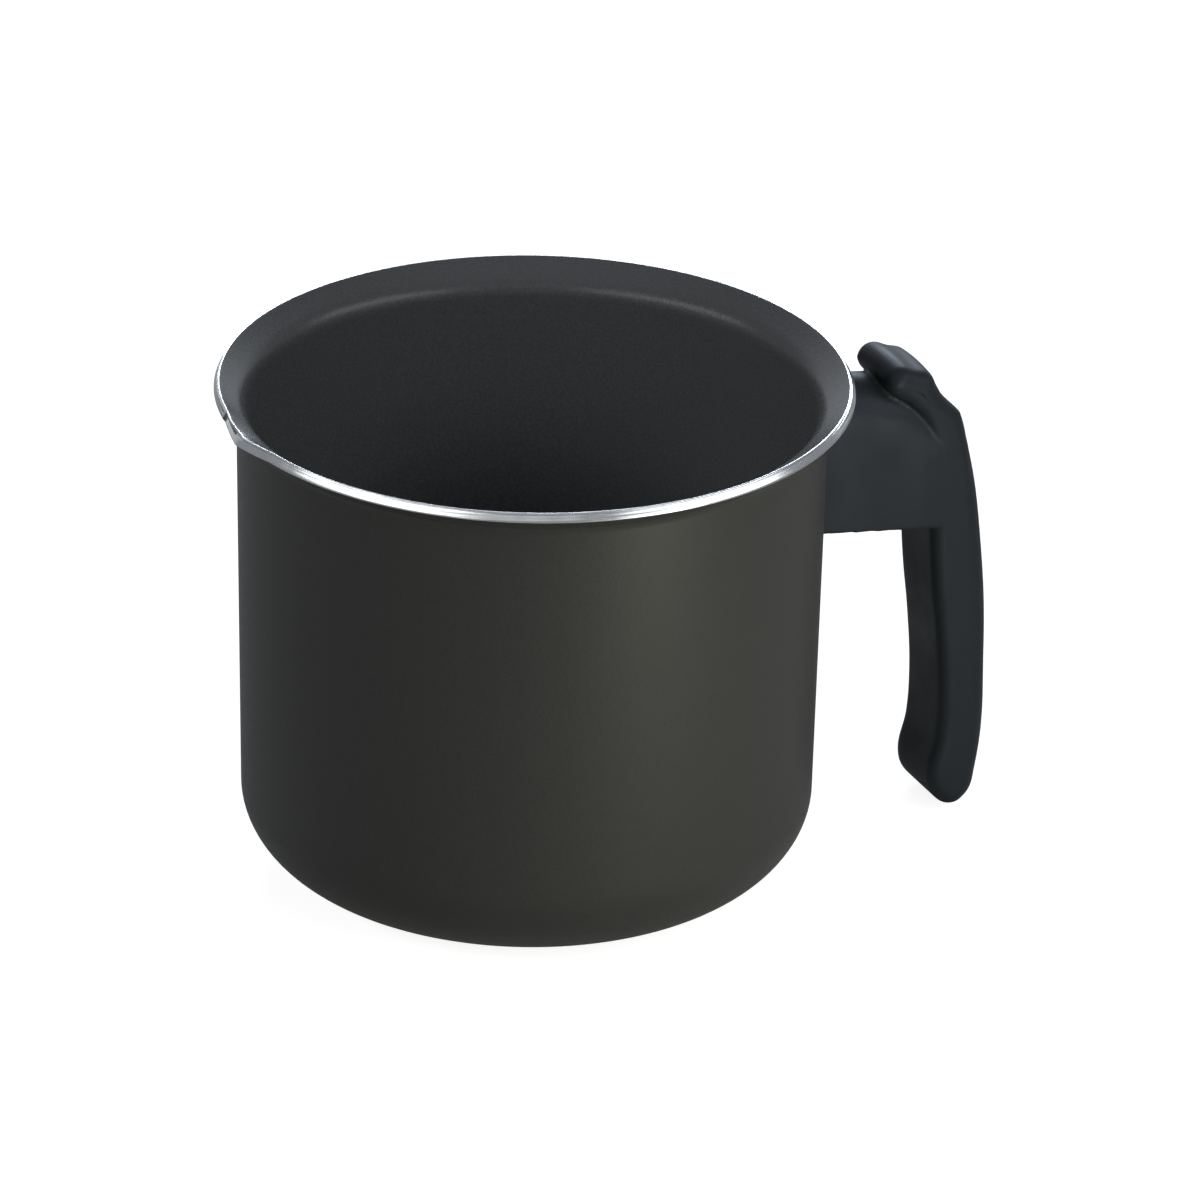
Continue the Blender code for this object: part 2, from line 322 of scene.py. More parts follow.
@dataclass(frozen=True)
class MouldedPhenolic:
    """Black phenolic resin, pressed in a steel mould with a spark-eroded skin.

    The mould's skin leaves a fine even grain. The resin is a cold black with faint paler, smoother clouds.
    """

    name: str = "moulded_phenolic"
    colour: str = "#232629"
    pale_colour: str = "#2a2e32"
    sheen_tint: str = "#e4eaff"
    specular: float = 0.26
    rough_low: float = 0.42
    rough_high: float = 0.56
    grain_size: float = 0.40 * MM
    grain_depth: float = 0.012 * MM
    cloud_size: float = 14.0 * MM

    def material(self) -> bpy.types.Material:
        """Builds the resin's material.

        Returns:
            The material.
        """
        material, tree, shader, place = new_material(self.name)
        grain = add_node(
            tree, "ShaderNodeTexNoise", {"Vector": place, "Scale": 1 / self.grain_size, "Detail": 2.0}
        )
        clouds = add_node(
            tree, "ShaderNodeTexNoise", {"Vector": place, "Scale": 1 / self.cloud_size, "Detail": 3.0}
        )
        colours = (self.colour, self.pale_colour)
        vary(tree, shader, clouds, colours, (self.rough_high, self.rough_low))
        bump = add_node(
            tree,
            "ShaderNodeBump",
            {"Height": grain.outputs["Fac"], "Strength": 1.0, "Distance": self.grain_depth},
        )
        shader.inputs["Specular IOR Level"].default_value = self.specular
        shader.inputs["Specular Tint"].default_value = linear(self.sheen_tint)
        tree.links.new(bump.outputs["Normal"], shader.inputs["Normal"])
        return material


@dataclass(frozen=True)
class BrightZinc:
    """Steel with a bright zinc plate, barrel plated.

    Tumbling in the plating barrel leaves faint dull patches and fine scuffs over a bluish bright metal.
    """

    name: str = "bright_zinc_plate"
    colour: str = "#cfd3d8"
    dull_colour: str = "#aeb3b8"
    rough_low: float = 0.20
    rough_high: float = 0.42
    patch_size: float = 1.8 * MM
    scuff_size: float = 0.30 * MM
    scuff_depth: float = 0.006 * MM

    def material(self) -> bpy.types.Material:
        """Builds the plated steel's material.

        Returns:
            The material.
        """
        material, tree, shader, place = new_material(self.name)
        patches = add_node(
            tree, "ShaderNodeTexNoise", {"Vector": place, "Scale": 1 / self.patch_size, "Detail": 4.0}
        )
        scuffs = add_node(
            tree, "ShaderNodeTexNoise", {"Vector": place, "Scale": 1 / self.scuff_size, "Detail": 2.0}
        )
        colours = (self.colour, self.dull_colour)
        vary(tree, shader, patches, colours, (self.rough_low, self.rough_high))
        bump = add_node(
            tree,
            "ShaderNodeBump",
            {"Height": scuffs.outputs["Fac"], "Strength": 1.0, "Distance": self.scuff_depth},
        )
        shader.inputs["Metallic"].default_value = 1.0
        tree.links.new(bump.outputs["Normal"], shader.inputs["Normal"])
        return material


class Pen:
    """Draws a section in the XZ plane with bmesh operators, from one end to the other."""

    def __init__(self, x: float, z: float) -> None:
        """Starts the section at a place."""
        self.bm = bmesh.new()
        self.tip = self.bm.verts.new((x, 0.0, z))

    def line(self, x: float, z: float, pieces: int = 1) -> "Pen":
        """Draws a straight stretch to a place.

        Args:
            x: The end's X.
            z: The end's Z.
            pieces: How many edges the stretch has.

        Returns:
            The pen.
        """
        step = (Vector((x, 0.0, z)) - self.tip.co) / pieces
        for _ in range(pieces):
            made = bmesh.ops.extrude_vert_indiv(self.bm, verts=[self.tip])
            self.tip = made["verts"][0]
            bmesh.ops.translate(self.bm, verts=[self.tip], vec=step)
        return self

    def arc(self, x: float, z: float, angle: float, steps: int, flatten: float = 1.0) -> "Pen":
        """Draws an arc round a centre.

        Args:
            x: The centre's X.
            z: The centre's Z.
            angle: The angle about +Y, which turns +Z towards +X.
            steps: How many edges the arc has.
            flatten: The arc's height as a share of its width.

        Returns:
            The pen.
        """
        centre = Vector((x, 0.0, z))
        before = set(self.bm.verts) - {self.tip}
        around = Matrix.Translation(-centre)
        bmesh.ops.scale(self.bm, verts=[self.tip], vec=(1.0, 1.0, 1 / flatten), space=around)
        made = bmesh.ops.spin(
            self.bm, geom=[self.tip], cent=centre, axis=Axis.ACROSS_Y.value, angle=angle, steps=steps
        )
        self.tip = next(part for part in made["geom_last"] if isinstance(part, bmesh.types.BMVert))
        drawn = [vert for vert in self.bm.verts if vert not in before]
        bmesh.ops.scale(self.bm, verts=drawn, vec=(1.0, 1.0, flatten), space=around)
        return self

    def turned(self, axis: Axis, steps: int, height: float = 0.0) -> bmesh.types.BMesh:
        """Turns the section through a full circle.

        Args:
            axis: The axis through the origin that it turns about.
            steps: How many steps the circle has.
            height: How far the turned shape is then lifted.

        Returns:
            The turned shape, welded, with its faces pointing out.
        """
        bmesh.ops.spin(
            self.bm,
            geom=self.bm.verts[:] + self.bm.edges[:],
            cent=(0.0, 0.0, 0.0),
            axis=axis.value,
            angle=2 * math.pi,
            steps=steps,
            use_merge=True,
        )
        bmesh.ops.remove_doubles(self.bm, verts=self.bm.verts, dist=WELD)
        bmesh.ops.recalc_face_normals(self.bm, faces=self.bm.faces)
        bmesh.ops.translate(self.bm, verts=self.bm.verts, vec=(0.0, 0.0, height))
        return self.bm


def make_piece(name: str, bm: bmesh.types.BMesh, *materials: bpy.types.Material) -> bpy.types.Object:
    """Makes an object of a bmesh, smooth with its sharp edges kept.

    Args:
        name: The piece's name.
        bm: The shape, which is freed.
        materials: The materials of its slots, in order.

    Returns:
        The object, at the origin.
    """
    mesh = bpy.data.meshes.new(name)
    bm.to_mesh(mesh)
    bm.free()
    piece = bpy.data.objects.new(name, mesh)
    bpy.context.scene.collection.objects.link(piece)
    for material in materials:
        mesh.materials.append(material)
    mesh.shade_smooth()
    mesh.set_sharp_from_angle(angle=SMOOTH_ANGLE)
    return piece


def take_shape(thing: bpy.types.Object, weld: float) -> bmesh.types.BMesh:
    """Takes an object's shape as its modifiers leave it, and removes the object.

    Args:
        thing: The object.
        weld: How close together vertices are welded.

    Returns:
        The shape.
    """
    bpy.context.view_layer.update()
    graph = bpy.context.evaluated_depsgraph_get()
    mesh = bpy.data.meshes.new_from_object(thing.evaluated_get(graph))
    bm = bmesh.new()
    bm.from_mesh(mesh)
    bpy.data.meshes.remove(mesh)
    bpy.data.objects.remove(thing, do_unlink=True)
    bmesh.ops.remove_doubles(bm, verts=bm.verts, dist=weld)
    return bm


def carve(
    piece: bpy.types.Object, cutters: list[bpy.types.Object], name: str, material: bpy.types.Material
) -> bpy.types.Object:
    """Cuts closed shapes out of a closed piece, and removes them.

    Args:
        piece: The piece, which is removed too.
        cutters: The shapes that are cut out.
        name: The new piece's name.
        material: Its finish.

    Returns:
        The new piece.
    """
    for cutter in cutters:
        modifier = piece.modifiers.new(cutter.name, "BOOLEAN")
        modifier.operation = "DIFFERENCE"
        modifier.object = cutter
        modifier.solver = "EXACT"
    shape = take_shape(piece, FINE_WELD)
    for cutter in cutters:
        bpy.data.objects.remove(cutter, do_unlink=True)
    return make_piece(name, shape, material)


def mount(piece: bpy.types.Object, node: str) -> None:
    """Fixes a piece to the part and reports it.

    Args:
        piece: The finished piece.
        node: The CAD node that it stands for.
    """
    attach(piece, "root")
    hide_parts(node)
    LOG.info("%s stands for %s, %d faces", piece.name, node, len(piece.data.polygons))


@dataclass
class Spout:
    """The pouring lip: the rim's edge pressed out and down into a shallow V."""

    half_width: float = 14.2 * MM
    reach: float = 1.9 * MM
    drop: float = 1.0 * MM
    draw_in: float = 1.2 * MM
    tip_step: float = 0.15 * MM
    plate_step: float = 0.60 * MM
    inner_step: float = 0.95 * MM
    tip_end_share: float = 0.60
    step_start_share: float = 0.97
    far_full_share: float = 0.89
    near_full_share: float = 0.40
    land_end_share: float = 0.50
    # The crease's depth is real shape. Its shares also bound the faces that take the dark lining as painted
    # shade.
    crease_depth: float = 0.25 * MM
    crease_start_share: float = 0.95
    crease_full_share: float = 0.88
    crease_end_share: float = 0.20


@dataclass
class Pot:
    """The drawn pot: one sheet with a rounded base corner, a flared lip and a bare trimmed edge."""

    height: float = 129.7 * MM
    wall_radius: float = 72.2 * MM
    wall_draft: float = 2.3 * MM
    sheet: float = 2.6 * MM
    corner_across: float = 32.0 * MM
    corner_up: float = 23.8 * MM
    rim_flare: float = 5.3 * MM
    lip_bend: float = 3.4 * MM
    lip_angle: float = math.radians(58)
    corner_steps: int = 28
    lip_steps: int = 12
    lip_pieces: int = 6
    wall_pieces: int = 8
    base_pieces: int = 6
    turn_steps: int = 464
    edge_round: float = 0.34 * MM
    edge_steps: int = 4
    edge_depth_share: float = 1.3
    edge_slack_share: float = 0.05
    # Stops over the edge, from its outer corner to its inner one
    dish_share: float = 0.34
    crease_share: float = 0.50
    flat_share: float = 0.73
    groove_share: float = 0.77
    land_share: float = 0.82
    dish_depth: float = 0.05 * MM
    groove_depth: float = 0.16 * MM
    groove_half_share: float = 0.05
    base_step_radius: float = 35.0 * MM
    base_step: float = 0.25 * MM
    spout: Spout = field(default_factory=Spout)

    def __post_init__(self) -> None:
        """Works out the sizes that follow from the fields."""
        self.inner_radius = self.wall_radius - self.sheet
        self.rim_radius = self.wall_radius + self.rim_flare
        self.bend_centre = self.wall_radius + self.lip_bend
        self.outer_bend = self.lip_bend + self.sheet
        sine, cosine = math.sin(self.lip_angle), math.cos(self.lip_angle)
        length = (self.rim_radius - self.bend_centre + self.outer_bend * cosine) / sine
        self.lip_root = self.height - self.outer_bend * sine - length * cosine
        self.edge_radius = self.rim_radius + self.sheet * cosine
        self.edge_height = self.height - self.sheet * sine
        self.lip_direction = Vector((sine, 0.0, cosine))
        self.edge_direction = Vector((-cosine, 0.0, sine))
        self.corner_radius = self.wall_radius - self.wall_draft - self.corner_across

    def wall_at(self, height: float) -> float:
        """Gives the outer wall's radius at a height."""
        down_share = (self.lip_root - height) / (self.lip_root - self.corner_up)
        return self.wall_radius - self.wall_draft * down_share

    def edge_place(self, share: float, depth: float) -> Vector:
        """Gives a place on the trimmed edge.

        Args:
            share: How far over the edge it lies, from its outer corner to its inner one.
            depth: How deep it lies under the edge's face.

        Returns:
            The place in the section's plane.
        """
        corner = Vector((self.edge_radius, 0.0, self.edge_height))
        return corner + self.edge_direction * self.sheet * share - self.lip_direction * depth

    def section(self) -> Pen:
        """Draws the sheet's section, from the base's middle out, up, over the edge and down inside.

        Returns:
            The pen, at the inside's middle.
        """
        flatten = self.corner_up / self.corner_across
        pen = Pen(0.0, self.base_step)
        pen.line(self.base_step_radius - self.base_step, self.base_step, self.base_pieces)
        pen.line(self.base_step_radius, 0.0).line(self.corner_radius, 0.0)
        pen.arc(self.corner_radius, self.corner_up, -QUARTER, self.corner_steps, flatten)
        pen.line(self.wall_radius, self.lip_root, self.wall_pieces)
        pen.arc(self.bend_centre, self.lip_root, self.lip_angle, self.lip_steps)
        rounding = self.edge_round / self.sheet
        outer = self.edge_place(0.0, self.edge_round)
        outer_centre = self.edge_place(rounding, self.edge_round)
        inner_centre = self.edge_place(1.0 - rounding, self.edge_round)
        pen.line(outer.x, outer.z, self.lip_pieces)
        pen.arc(outer_centre.x, outer_centre.z, -QUARTER, self.edge_steps)
        edge_stops = (
            (self.dish_share, self.dish_depth),
            (self.crease_share, self.dish_depth),
            (self.flat_share, self.dish_depth),
            (self.groove_share, self.groove_depth),
            (self.land_share, 0.0),
            (1.0 - rounding, 0.0),
        )
        for share, depth in edge_stops:
            stop = self.edge_place(share, depth)
            pen.line(stop.x, stop.z)
        pen.arc(inner_centre.x, inner_centre.z, -QUARTER, self.edge_steps)
        bend_end_x = self.bend_centre - self.outer_bend * math.cos(self.lip_angle)
        bend_end_z = self.lip_root + self.outer_bend * math.sin(self.lip_angle)
        pen.line(bend_end_x, bend_end_z, self.lip_pieces)
        pen.arc(self.bend_centre, self.lip_root, -self.lip_angle, self.lip_steps)
        inner_across = self.corner_across - self.sheet
        inner_up = self.corner_up - self.sheet
        pen.line(self.corner_radius + inner_across, self.corner_up, self.wall_pieces)
        pen.arc(self.corner_radius, self.corner_up, QUARTER, self.corner_steps, inner_up / inner_across)
        return pen.line(0.0, self.sheet, self.base_pieces)

    def edge_share(self, place: Vector) -> float | None:
        """Tells how far over the trimmed edge a place lies.

        Args:
            place: A place in the section's plane.

        Returns:
            The share from the outer corner to the inner one, or None off the edge.
        """
        away = place - Vector((self.edge_radius, 0.0, self.edge_height))
        share = away.dot(self.edge_direction) / self.sheet
        depth = -away.dot(self.lip_direction)
        slack = self.edge_slack_share
        on_edge = depth < self.edge_depth_share * self.edge_round and -slack < share < 1 + slack
        return share if on_edge else None

    def plate_drop(self, off: float, share: float, near: bool) -> float:
        """Gives how deep the spout's plate lies under the edge's inner land.

        Args:
            off: The distance from the spout's middle, as a share of its half width.
            share: How far over the trimmed edge the place lies.
            near: Whether the place is on the side at -Y, where the press runs out softly.

        Returns:
            The depth.
        """
        spout = self.spout
        full_share = spout.near_full_share if near else spout.far_full_share
        rise = (spout.step_start_share - off) / (spout.step_start_share - full_share)
        if share > self.groove_share:
            rise = min(rise, 1 - off / spout.land_end_share)
        tip_share = min(1.0, off / spout.tip_end_share)
        outer = spout.tip_step + (spout.plate_step - spout.tip_step) * tip_share
        depth = (outer + (spout.inner_step - outer) * share) * max(0.0, min(1.0, rise))
        if not near and abs(share - self.groove_share) < self.groove_half_share:
            full = spout.crease_full_share
            start = (spout.crease_start_share - off) / (spout.crease_start_share - full)
            end = (off - spout.crease_end_share) / (full - spout.crease_end_share)
            depth += spout.crease_depth * max(0.0, min(1.0, start, end))
        return depth

    def in_painted_crease_shade(self, middle: Vector, radius: float) -> bool:
        """Tells whether a face lies in the spout's crease or its end step, which take the dark lining in
        place of bare metal as painted shade.

        Args:
            middle: The face's middle.
            radius: Its distance from the axis.

        Returns:
            Whether the face takes the dark lining as painted shade.
        """
        spout = self.spout
        share = self.edge_share(Vector((radius, 0.0, middle.z)))
        off = (math.pi - abs(math.atan2(middle.y, middle.x))) * self.rim_radius / spout.half_width
        if share is None or share > self.land_share or middle.y < 0 or off > spout.step_start_share:
            return False
        return off > spout.crease_full_share or share > self.crease_share and off > spout.crease_end_share

    def press_spout(self, bm: bmesh.types.BMesh) -> None:
        """Presses the pouring lip, which pulls that side of the rim in a little.

        Args:
            bm: The turned sheet.
        """
        spout = self.spout
        half_angle = spout.half_width / self.rim_radius
        for vert in bm.verts:
            place = vert.co
            radius = math.hypot(place.x, place.y)
            if place.z <= self.lip_root or radius <= self.inner_radius:
                continue
            off = math.pi - abs(math.atan2(place.y, place.x))
            weight = max(0.0, 1 - off / half_angle)
            out_share = (radius - self.inner_radius) / (self.edge_radius - self.inner_radius)
            rise_share = (place.z - self.lip_root) / (self.height - self.lip_root)
            bend_share = out_share**2 * math.sqrt(rise_share)
            draw_in = spout.draw_in * (1 + math.cos(off)) / 2
            outward = (spout.reach * weight - draw_in) * bend_share
            down = spout.drop * weight * bend_share
            share = self.edge_share(Vector((radius, 0.0, place.z)))
            if share is not None:
                step = self.plate_drop(off / half_angle, share, place.y < 0)
                outward -= self.lip_direction.x * step
                down += self.lip_direction.z * step
            vert.co = place + Vector((place.x * outward / radius, place.y * outward / radius, -down))

    def build(self) -> bpy.types.Object:
        """Builds the pot with its coating, its lining, its bare edge and its bare base.

        Returns:
            The pot.
        """
        bm = self.section().turned(Axis.UP_Z, self.turn_steps)
        base_radius = self.base_step_radius + WELD
        for face in bm.faces:
            middle = face.calc_center_median()
            radius = math.hypot(middle.x, middle.y)
            inside = face.normal.x * middle.x + face.normal.y * middle.y < 0 or middle.z < 2 * self.sheet
            inside = inside and face.normal.z > -WELD
            on_edge = self.edge_share(Vector((radius, 0.0, middle.z))) is not None
            on_base = middle.z < self.base_step + WELD and radius < base_radius and face.normal.z < 0
            # The spout's crease and end step get the dark lining, not bare metal: painted shade where the
            # crease lies in shadow.
            bare = on_edge and not self.in_painted_crease_shade(middle, radius) or on_base
            coat = Coat.BARE if bare else Coat.INSIDE if inside or on_edge else Coat.OUTSIDE
            face.material_index = coat.value
        self.press_spout(bm)
        finishes = (BakedCoating(), TurnedAluminium(), BakedLining())
        return make_piece("coated_pot", bm, *(finish.material() for finish in finishes))


@dataclass
class Fastening:
    """The screw, its washers and the room that the handle leaves for them, all round one level axis."""

    height: float = 99.15 * MM
    seat_x: float = 101.3 * MM
    gap: float = 0.3 * MM
    flange_radius: float = 6.8 * MM
    flange_end_x: float = 73.9 * MM
    stud_radius: float = 5.0 * MM
    stud_end_x: float = 82.5 * MM
    screw_radius: float = 2.5 * MM
    screw_core_radius: float = 2.08 * MM
    thread_pitch: float = 0.8 * MM
    tip_x: float = 74.5 * MM
    head_x: float = 104.4 * MM
    head_radius: float = 4.6 * MM
    head_height: float = 3.3 * MM
    head_side: float = 1.5 * MM
    recess_length: float = 5.0 * MM
    recess_width: float = 1.1 * MM
    recess_depth: float = 2.0 * MM
    washer_radius: float = 5.0 * MM
    washer_thickness: float = 1.0 * MM
    spring_radius: float = 4.4 * MM
    spring_thickness: float = 1.2 * MM
    spring_slit: float = 0.9 * MM
    washer_round: float = 0.15 * MM
    spring_round: float = 0.12 * MM
    round_segments: int = 2
    square_angle: float = math.radians(50)
    thread_clear: float = 2.0 * MM
    head_chamfer: float = 0.2 * MM
    dome_steps: int = 8
    recess_end_share: float = 0.55
    bore_overrun: float = 10.0 * MM
    steps: int = 96

    def bore(self, back_x: float) -> bpy.types.Object:
        """Makes the cutter for the handle's bore: flange pocket, stud pocket, screw channel and head bore.

        Args:
            back_x: Where the cutter ends, behind the handle.

        Returns:
            The cutter.
        """
        stages = (
            (self.flange_end_x + 2 * self.gap, self.flange_radius + self.gap),
            (self.stud_end_x + self.gap, self.stud_radius + self.gap),
            (self.seat_x, self.screw_radius + self.gap),
            (back_x, self.washer_radius + self.gap),
        )
        start = self.flange_end_x - self.bore_overrun
        pen = Pen(start, 0.0)
        for end, radius in stages:
            pen.line(start, radius).line(end, radius)
            start = end
        bm = pen.line(start, 0.0).turned(Axis.ALONG_X, self.steps, self.height)
        return make_piece("bore_cutter", bm)

    def flat_washer(self, zinc: bpy.types.Material) -> bpy.types.Object:
        """Builds the plain washer with its rounded edges.

        Args:
            zinc: The fastening's finish.

        Returns:
            The washer.
        """
        start = self.seat_x + self.gap
        end = start + self.washer_thickness
        inner = self.screw_radius + self.gap
        pen = Pen(start, inner).line(end, inner).line(end, self.washer_radius)
        pen.line(start, self.washer_radius).line(start, inner)
        bm = pen.turned(Axis.ALONG_X, self.steps, self.height)
        self.round_edges(bm, self.washer_round)
        return make_piece("plain_washer", bm, zinc)

    def spring_washer(self, zinc: bpy.types.Material) -> bpy.types.Object:
        """Builds the split spring washer: a square wire wound once, with its slit at the top.

        Args:
            zinc: The fastening's finish.

        Returns:
            The washer.
        """
        start = self.seat_x + 2 * self.gap + self.washer_thickness
        inner = self.screw_radius + self.gap
        across = self.spring_radius - inner
        bm = bmesh.new()
        middle = Vector((start + self.spring_thickness / 2, 0.0, inner + across / 2))
        place = Matrix.Translation(middle) @ Matrix.Diagonal((self.spring_thickness, 1.0, across, 1.0))
        flat = Matrix.Rotation(QUARTER, 4, "X")
        wire = bmesh.ops.create_grid(bm, x_segments=1, y_segments=1, size=0.5, matrix=place @ flat)
        slit_angle = self.spring_slit / self.spring_radius
        turn = Matrix.Rotation(slit_angle / 2, 3, "X")
        bmesh.ops.rotate(bm, verts=wire["verts"], cent=(0.0, 0.0, 0.0), matrix=turn)
        bmesh.ops.spin(
            bm, geom=bm.verts[:] + bm.edges[:] + bm.faces[:], cent=(0.0, 0.0, 0.0),
            axis=Axis.ALONG_X.value, angle=2 * math.pi - slit_angle, steps=self.steps,
        )
        bmesh.ops.remove_doubles(bm, verts=bm.verts, dist=WELD)
        bmesh.ops.recalc_face_normals(bm, faces=bm.faces)
        bmesh.ops.translate(bm, verts=bm.verts, vec=(0.0, 0.0, self.height))
        self.round_edges(bm, self.spring_round)
        return make_piece("split_washer", bm, zinc)

    def round_edges(self, bm: bmesh.types.BMesh, width: float) -> None:
        """Rounds a shape's square edges.

        Args:
            bm: The shape.
            width: How far the rounding reaches on each side.
        """
        shared = [edge for edge in bm.edges if edge.is_manifold]
        square = [edge for edge in shared if edge.calc_face_angle(0.0) > self.square_angle]
        bmesh.ops.bevel(
            bm, geom=square, offset=width, offset_type="OFFSET", segments=self.round_segments, profile=0.5,
            affect="EDGES", material=-1,
        )

    def screw(self, zinc: bpy.types.Material) -> bpy.types.Object:
        """Builds the pan-head screw with its thread and cross recess.

        Args:
            zinc: The fastening's finish.

        Returns:
            The screw.
        """
        face_x = self.head_x + self.head_height
        dome = self.head_height - self.head_side
        pen = Pen(self.tip_x, 0.0)
        pen.line(self.tip_x, self.screw_core_radius)
        thread_x = self.tip_x
        while thread_x + self.thread_pitch < self.seat_x - self.thread_clear:
            pen.line(thread_x + self.thread_pitch / 2, self.screw_radius)
            pen.line(thread_x + self.thread_pitch, self.screw_core_radius)
            thread_x += self.thread_pitch
        pen.line(thread_x + self.thread_pitch / 2, self.screw_radius).line(self.head_x, self.screw_radius)
        pen.line(self.head_x, self.head_radius - self.head_chamfer)
        pen.line(self.head_x + self.head_chamfer, self.head_radius)
        pen.line(self.head_x + self.head_side, self.head_radius)
        pen.arc(self.head_x + self.head_side, self.head_radius - dome, QUARTER, self.dome_steps)
        pen.line(face_x, 0.0)
        blank = make_piece("screw_blank", pen.turned(Axis.ALONG_X, self.steps, self.height), zinc)
        sizes = ((self.recess_length, self.recess_width), (self.recess_width, self.recess_length))
        cutters = []
        for number, (across, up) in enumerate(sizes):
            bm = bmesh.new()
            middle = Vector((face_x, 0.0, self.height))
            size = Matrix.Diagonal((2 * self.recess_depth, across, up, 1.0))
            bmesh.ops.create_cube(bm, size=1.0, matrix=Matrix.Translation(middle) @ size)
            deep = [vert for vert in bm.verts if vert.co.x < face_x]
            narrow = (1.0, self.recess_end_share, self.recess_end_share)
            bmesh.ops.scale(bm, verts=deep, vec=narrow, space=Matrix.Translation(-middle))
            cutters.append(make_piece(f"recess_cutter_{number}", bm))
        return carve(blank, cutters, "pan_head_screw", zinc)

    def build(self) -> None:
        """Builds the screw and its washers and fixes them to the part."""
        zinc = BrightZinc().material()
        mount(self.flat_washer(zinc), "flat_washer")
        mount(self.spring_washer(zinc), "spring_washer")
        mount(self.screw(zinc), "handle_screw")


@dataclass
class Handle:
    """The moulded handle: a strap with a thumb rest, carried by a neck that seats on the wall."""

    pot: Pot
    fastening: Fastening
    reach: float = 47.6 * MM
    width: float = 22.4 * MM
    top: float = 121.7 * MM
    foot_lift: float = 1.3 * MM
    edge_round: float = 3.3 * MM
    edge_segments: int = 8
    crown: float = 1.2 * MM
    crown_x: float = 109.5 * MM
    crown_blend: float = 5.0 * MM
    crown_high: float = 105.0 * MM
    nose_crown: float = 1.0 * MM
    nose_low: float = 108.0 * MM
    outline_steps: int = 14
    neck_bottom: float = 80.0 * MM
    neck_height: float = 37.9 * MM
    neck_fall: float = 3.6 * MM
    neck_wall_width: float = 16.8 * MM
    neck_grip_width: float = 26.0 * MM
    neck_flush: float = 0.02 * MM
    neck_arch_power: float = 0.27
    neck_into_wall: float = 3.0 * MM
    neck_end_share: float = 0.75
    neck_sag_share: float = 1.09
    neck_sag_power: float = 3.85
    neck_rings: int = 10
    neck_steps: int = 128
    voxel: float = 0.45 * MM
    smoothing: int = 6
    smoothing_factor: float = 0.5
    wall_gap: float = 0.15 * MM
    rib_pitch: float = 3.6 * MM
    rib_depth: float = 0.22 * MM
    rib_low: float = 14.0 * MM
    rib_high: float = 92.0 * MM
    rib_half_width: float = 7.5 * MM
    rib_fade: float = 2.0 * MM
    back_facing: float = 0.6
    cut_below: float = 10.0 * MM
    cut_above: float = 4.0 * MM
    cut_overrun: float = 5.0 * MM
    # Places round the side outline: share of the reach out from the wall, share of the height
    nose_shares: tuple = (
        (0.399, 0.977), (0.462, 1.000), (0.567, 0.988), (0.645, 0.976), (0.683, 0.948), (0.723, 0.920),
    )
    corner_share: tuple = (0.819, 0.876)
    back_shares: tuple = (
        (0.887, 0.793), (0.971, 0.571), (1.000, 0.338), (0.962, 0.072), (0.912, 0.017), (0.800, 0.000),
    )
    inner_shares: tuple = (
        (0.720, 0.020), (0.677, 0.060), (0.720, 0.155), (0.731, 0.250), (0.712, 0.380), (0.680, 0.500),
        (0.665, 0.600), (0.660, 0.753), (0.618, 0.856),
    )
    under_shares: tuple = ((0.527, 0.911), (0.445, 0.935), (0.405, 0.952))

    def outline(self) -> bmesh.types.BMesh:
        """Draws the strap's side outline as one smooth closed line, in the curve's own plane.

        Returns:
            The outline's vertices and edges.
        """
        curve = bpy.data.curves.new("outline", "CURVE")
        curve.dimensions = "2D"
        curve.fill_mode = "NONE"
        curve.resolution_u = self.outline_steps
        curve.render_resolution_u = self.outline_steps
        shares = (*self.nose_shares, self.corner_share, *self.back_shares)
        shares += (*self.inner_shares, *self.under_shares)
        spline = curve.splines.new("BEZIER")
        spline.bezier_points.add(len(shares) - 1)
        spline.use_cyclic_u = True
        tall = self.top - self.foot_lift
        for point, share in zip(spline.bezier_points, shares):
            x = self.pot.wall_radius + self.reach * share[0]
            point.co = (x, self.foot_lift + tall * share[1], 0.0)
            kind = "VECTOR" if share == self.corner_share else "AUTO"
            point.handle_left_type = kind
            point.handle_right_type = kind
        thing = bpy.data.objects.new("outline", curve)
        bpy.context.scene.collection.objects.link(thing)
        return take_shape(thing, WELD)

    def strap(self) -> bmesh.types.BMesh:
        """Builds the strap: its outline drawn out to its width, with rounded edges.

        Returns:
            The strap, closed.
        """
        bm = self.outline()
        bmesh.ops.transform(bm, matrix=Matrix.Rotation(QUARTER, 4, "X"), verts=bm.verts)
        bmesh.ops.translate(bm, verts=bm.verts, vec=(0.0, -self.width / 2, 0.0))
        bmesh.ops.contextual_create(bm, geom=bm.edges[:])
        made = bmesh.ops.extrude_face_region(bm, geom=bm.faces[:])
        far = [part for part in made["geom"] if isinstance(part, bmesh.types.BMVert)]
        bmesh.ops.translate(bm, verts=far, vec=(0.0, self.width, 0.0))
        bmesh.ops.recalc_face_normals(bm, faces=bm.faces)
        square = [edge for edge in bm.edges if abs(edge.verts[0].co.y - edge.verts[1].co.y) < WELD]
        bmesh.ops.bevel(
            bm, geom=square, offset=self.edge_round, offset_type="OFFSET", segments=self.edge_segments,
            profile=0.5, affect="EDGES", clamp_overlap=False, material=-1,
        )
        return bm

